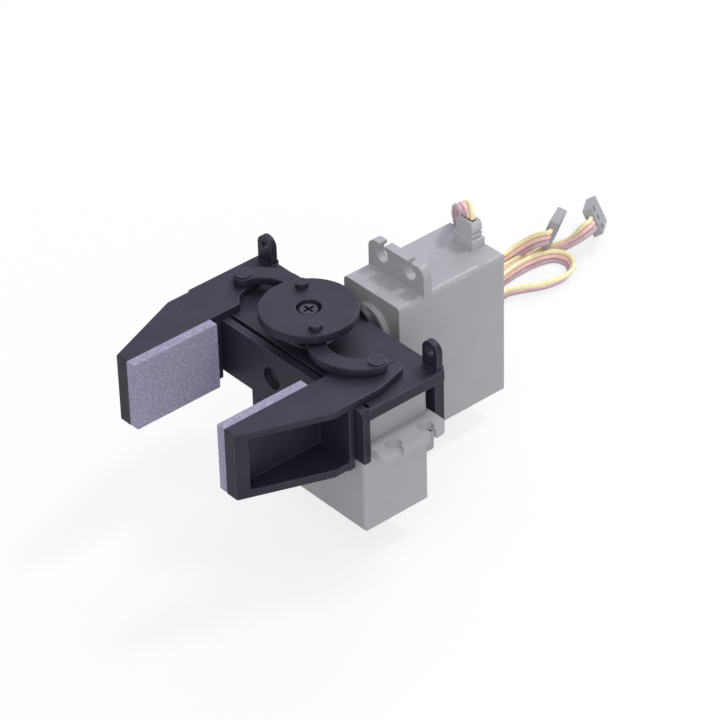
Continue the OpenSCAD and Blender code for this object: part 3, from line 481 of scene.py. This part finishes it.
def make_lead(name, route, keys, node):
    scene = bpy.context.scene
    line = smooth_route(route, scene.gripper_lead.steps)
    piece = ribbon(name, line, keys, scene.gripper_lead, lead_materials(scene.gripper_finish))
    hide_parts(node)
    return piece


# ---------------------------------------------------------------- operators


class GRIPPER_OT_body(bpy.types.Operator):
    """Finish the black moulded parts of the gripper"""

    bl_idname = "gripper.body"
    bl_label = "Gripper body"

    def execute(self, context):
        finish = context.scene.gripper_finish
        # The black plastic gets a painted highlight along its edges
        plastic = moulded_plastic("Gripper plastic", finish.plastic, finish.grain, mottle=0.2,
                                  depth=0.00003, highlight_colour=finish.painted_edge_highlight)
        dress(GRIPPER_NODES, plastic, finish.edge_radius)
        horn = moulded_plastic("Horn plastic", shade(finish.plastic, 0.7), finish.grain,
                               roughness=0.4)
        dress(["wrist_horn"], horn, finish.edge_radius / 2)
        return {"FINISHED"}


class GRIPPER_OT_pads(bpy.types.Operator):
    """Finish the two grip pads"""

    bl_idname = "gripper.pads"
    bl_label = "Grip pads"

    def execute(self, context):
        finish = context.scene.gripper_finish
        dress(PAD_NODES, foam("Pad foam", finish.pad), finish.edge_radius)
        return {"FINISHED"}


class GRIPPER_OT_servos(bpy.types.Operator):
    """Finish the cases of both servos and what comes out of them"""

    bl_idname = "gripper.servos"
    bl_label = "Servo cases"

    def execute(self, context):
        finish = context.scene.gripper_finish
        case = moulded_plastic("Servo case", finish.servo_case, finish.grain, roughness=0.28,
                               mottle=0.03, depth=0.00001, gloss=0.25)
        relief = moulded_plastic("Relief rubber", shade(finish.servo_case, 1.25), finish.grain,
                                 roughness=0.6)
        for servo in ("drive", "wrist"):
            dress([f"{servo}_{part}" for part in CASE_PARTS], case, finish.edge_radius)
            dress([f"{servo}_strain_relief"], relief, finish.edge_radius / 2)
        return {"FINISHED"}


class GRIPPER_OT_inner_parts(bpy.types.Operator):
    """Finish the gears, motors and boards inside the servos"""

    bl_idname = "gripper.inner_parts"
    bl_label = "Inner parts"

    def execute(self, context):
        finish = context.scene.gripper_finish
        nylon = moulded_plastic("Gear nylon", (0.80, 0.78, 0.70, 1), finish.grain,
                                roughness=0.4, mottle=0.04)
        dark = moulded_plastic("Sensor plastic", (0.03, 0.03, 0.03, 1), finish.grain,
                               roughness=0.45)
        board = solder_mask("Board lacquer", (0.02, 0.13, 0.05, 1))
        can = plated_steel("Motor can", (0.55, 0.55, 0.57, 1), roughness=0.28)
        brass = plated_steel("Turned brass", (0.62, 0.42, 0.16, 1), roughness=0.25)
        for servo in ("drive", "wrist"):
            dress([f"{servo}_{g}" for g in ("gear_1", "gear_2", "gear_3", "output_gear")], nylon)
            dress([f"{servo}_potentiometer"], dark)
            dress([f"{servo}_circuit_board"], board)
            dress([f"{servo}_motor"], can)
            dress([f"{servo}_pinion", f"{servo}_bush"], brass)
        return {"FINISHED"}


class GRIPPER_OT_screws(bpy.types.Operator):
    """Finish the screws and pins"""

    bl_idname = "gripper.screws"
    bl_label = "Screws"

    def execute(self, context):
        finish = context.scene.gripper_finish
        steel = plated_steel("Screw steel", finish.screw)
        dress(SCREW_NODES, steel, SCREW_EDGE)
        # Painted shade: the disc's screw gets a much darker copy of the screw steel, for the shade
        # of the recess its head sits in
        dark = plated_steel("Disc screw painted shade", shade(finish.screw, 0.25), roughness=0.38)
        dress(["disc_screw"], dark, SCREW_EDGE)
        return {"FINISHED"}


class GRIPPER_OT_wrist_lead(bpy.types.Operator):
    """Lay the wrist servo's lead"""

    bl_idname = "gripper.wrist_lead"
    bl_label = "Wrist servo lead"

    def execute(self, context):
        piece = make_lead("wrist_servo_lead", WRIST_ROUTE, WRIST_WIDTH, "wrist_lead")
        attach(piece, "wrist_servo")
        return {"FINISHED"}


class GRIPPER_OT_drive_lead(bpy.types.Operator):
    """Lay the drive servo's lead in its resting shape"""

    bl_idname = "gripper.drive_lead"
    bl_label = "Drive servo lead"

    def execute(self, context):
        piece = make_lead("drive_servo_lead", DRIVE_ROUTE, DRIVE_WIDTH, "drive_lead")
        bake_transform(piece)
        return {"FINISHED"}


class GRIPPER_OT_plugs(bpy.types.Operator):
    """Finish the plugs at the ends of the leads"""

    bl_idname = "gripper.plugs"
    bl_label = "Plugs"

    def execute(self, context):
        finish = context.scene.gripper_finish
        plug = moulded_plastic("Plug plastic", finish.plug, finish.grain, roughness=0.45)
        dress(["wrist_plug", "drive_plug"], plug, finish.edge_radius / 2)
        return {"FINISHED"}


class GRIPPER_OT_stage(bpy.types.Operator):
    """Set the camera, the lamps, the surroundings and the floor"""

    bl_idname = "gripper.stage"
    bl_label = "Stage"

    def execute(self, context):
        scene = context.scene
        stage = scene.gripper_stage
        scene.view_settings.view_transform = "Standard"
        place_camera(scene, stage)
        area_lamp("Key lamp", place=(0.25, -0.35, 0.95), size=0.9, power=stage.key_power)
        area_lamp("Fill lamp", place=(0.76, -0.52, 0.36), size=0.7, power=stage.fill_power)
        area_lamp("Back lamp", place=(-0.72, 0.62, 0.72), size=0.9, power=stage.back_power,
                  colour=COOL_LIGHT)
        area_lamp("Edge lamp", place=(0.1, 0.62, 1.0), size=0.22, power=stage.edge_power)
        area_lamp("Rim lamp", place=(-0.4, 0.95, 0.58), size=0.2, power=stage.rim_power)
        surroundings(scene, stage.surround)
        lay_floor(stage.floor_colour)
        return {"FINISHED"}


def place_camera(scene, stage):
    """A long lens looking down at the gripper from its front right."""
    data = bpy.data.cameras.new("Camera")
    camera = bpy.data.objects.new("Camera", data)
    scene.collection.objects.link(camera)
    data.sensor_width = 36
    data.lens = stage.lens
    data.clip_start = 0.05
    data.clip_end = 10
    place = Vector(stage.camera_place)
    ahead = (Vector(stage.camera_target) - place).normalized()
    right = ahead.cross(Vector((0, 0, 1))).normalized()
    up = right.cross(ahead)
    turned = Matrix.Rotation(stage.camera_roll, 3, -ahead)
    axes = Matrix((turned @ right, turned @ up, -ahead)).transposed()
    camera.matrix_world = Matrix.Translation(place) @ axes.to_4x4()
    scene.camera = camera


def area_lamp(name, place, size, power, colour=WHITE_LIGHT):
    """A square soft lamp that faces the origin."""
    data = bpy.data.lights.new(name, "AREA")
    data.shape = "SQUARE"
    data.size = size
    data.energy = power
    data.color = colour
    lamp = bpy.data.objects.new(name, data)
    bpy.context.scene.collection.objects.link(lamp)
    lamp.location = place
    lamp.rotation_mode = "QUATERNION"
    lamp.rotation_quaternion = (-Vector(place)).to_track_quat("-Z", "Y")


def surroundings(scene, strength):
    """White to the camera and in reflections, softer as a source of light."""
    world = bpy.data.worlds.new("Surroundings")
    scene.world = world
    world.use_nodes = True
    tree = world.node_tree
    light = tree.nodes["Background"]
    light.inputs["Color"].default_value = WHITE
    light.inputs["Strength"].default_value = strength
    seen = tree.nodes.new("ShaderNodeBackground")
    seen.inputs["Color"].default_value = WHITE
    seen.inputs["Strength"].default_value = 1.0
    rays = tree.nodes.new("ShaderNodeLightPath")
    mix = tree.nodes.new("ShaderNodeMixShader")
    tree.links.new(rays.outputs["Is Camera Ray"], mix.inputs["Fac"])
    tree.links.new(light.outputs["Background"], mix.inputs[1])
    tree.links.new(seen.outputs["Background"], mix.inputs[2])
    tree.links.new(mix.outputs["Shader"], tree.nodes["World Output"].inputs["Surface"])


def lay_floor(colour):
    """A wide pale floor that keeps a soft shadow and otherwise looks white."""
    mesh = bpy.data.meshes.new("Floor")
    half = FLOOR_SIZE / 2
    z = FLOOR_Z - FLOOR_GAP
    corners = [(-half, -half, z), (half, -half, z), (half, half, z), (-half, half, z)]
    mesh.from_pydata(corners, [], [(0, 1, 2, 3)])
    floor = bpy.data.objects.new("Floor", mesh)
    bpy.context.scene.collection.objects.link(floor)
    material, tree, shader = new_material("Floor")
    shader.inputs["Roughness"].default_value = 0.9
    shader.inputs["Specular IOR Level"].default_value = 0.0
    glow = tree.nodes.new("ShaderNodeEmission")
    glow.inputs["Color"].default_value = WHITE
    glow.inputs["Strength"].default_value = 1.0
    rays = tree.nodes.new("ShaderNodeLightPath")
    tint = tree.nodes.new("ShaderNodeMixRGB")
    tint.inputs["Color1"].default_value = FLOOR_BOUNCE
    tint.inputs["Color2"].default_value = colour
    tree.links.new(rays.outputs["Is Camera Ray"], tint.inputs["Fac"])
    tree.links.new(tint.outputs["Color"], shader.inputs["Base Color"])
    share = tree.nodes.new("ShaderNodeMath")
    share.operation = "MULTIPLY"
    share.inputs[1].default_value = FLOOR_GLOW
    tree.links.new(rays.outputs["Is Camera Ray"], share.inputs[0])
    mix = tree.nodes.new("ShaderNodeMixShader")
    tree.links.new(share.outputs["Value"], mix.inputs["Fac"])
    tree.links.new(shader.outputs["BSDF"], mix.inputs[1])
    tree.links.new(glow.outputs["Emission"], mix.inputs[2])
    tree.links.new(mix.outputs["Shader"], tree.nodes["Material Output"].inputs["Surface"])
    mesh.materials.append(material)


class GRIPPER_PT_panel(bpy.types.Panel):
    """Lists the steps that dress the gripper"""

    bl_label = "Two finger gripper"
    bl_idname = "GRIPPER_PT_panel"
    bl_space_type = "VIEW_3D"
    bl_region_type = "UI"
    bl_category = "Gripper"

    def draw(self, context):
        for operator in OPERATORS:
            self.layout.operator(operator.bl_idname)
        for settings in (context.scene.gripper_finish, context.scene.gripper_lead,
                         context.scene.gripper_stage):
            column = self.layout.column()
            for name in settings.__annotations__:
                column.prop(settings, name)


OPERATORS = (
    GRIPPER_OT_stage, GRIPPER_OT_wrist_lead, GRIPPER_OT_drive_lead, GRIPPER_OT_plugs,
    GRIPPER_OT_body, GRIPPER_OT_pads, GRIPPER_OT_servos, GRIPPER_OT_screws, GRIPPER_OT_inner_parts,
)
SETTINGS = {"gripper_finish": FinishSettings, "gripper_lead": LeadSettings,
            "gripper_stage": StageSettings}


def register():
    for settings in SETTINGS.values():
        bpy.utils.register_class(settings)
    for name, settings in SETTINGS.items():
        setattr(bpy.types.Scene, name, PointerProperty(type=settings))
    for operator in OPERATORS:
        bpy.utils.register_class(operator)
    bpy.utils.register_class(GRIPPER_PT_panel)


def unregister():
    bpy.utils.unregister_class(GRIPPER_PT_panel)
    for operator in reversed(OPERATORS):
        bpy.utils.unregister_class(operator)
    for name in SETTINGS:
        delattr(bpy.types.Scene, name)
    for settings in reversed(SETTINGS.values()):
        bpy.utils.unregister_class(settings)


def main():
    register()
    for operator in OPERATORS:
        group, name = operator.bl_idname.split(".")
        getattr(getattr(bpy.ops, group), name)()


if __name__ == "__main__":
    main()
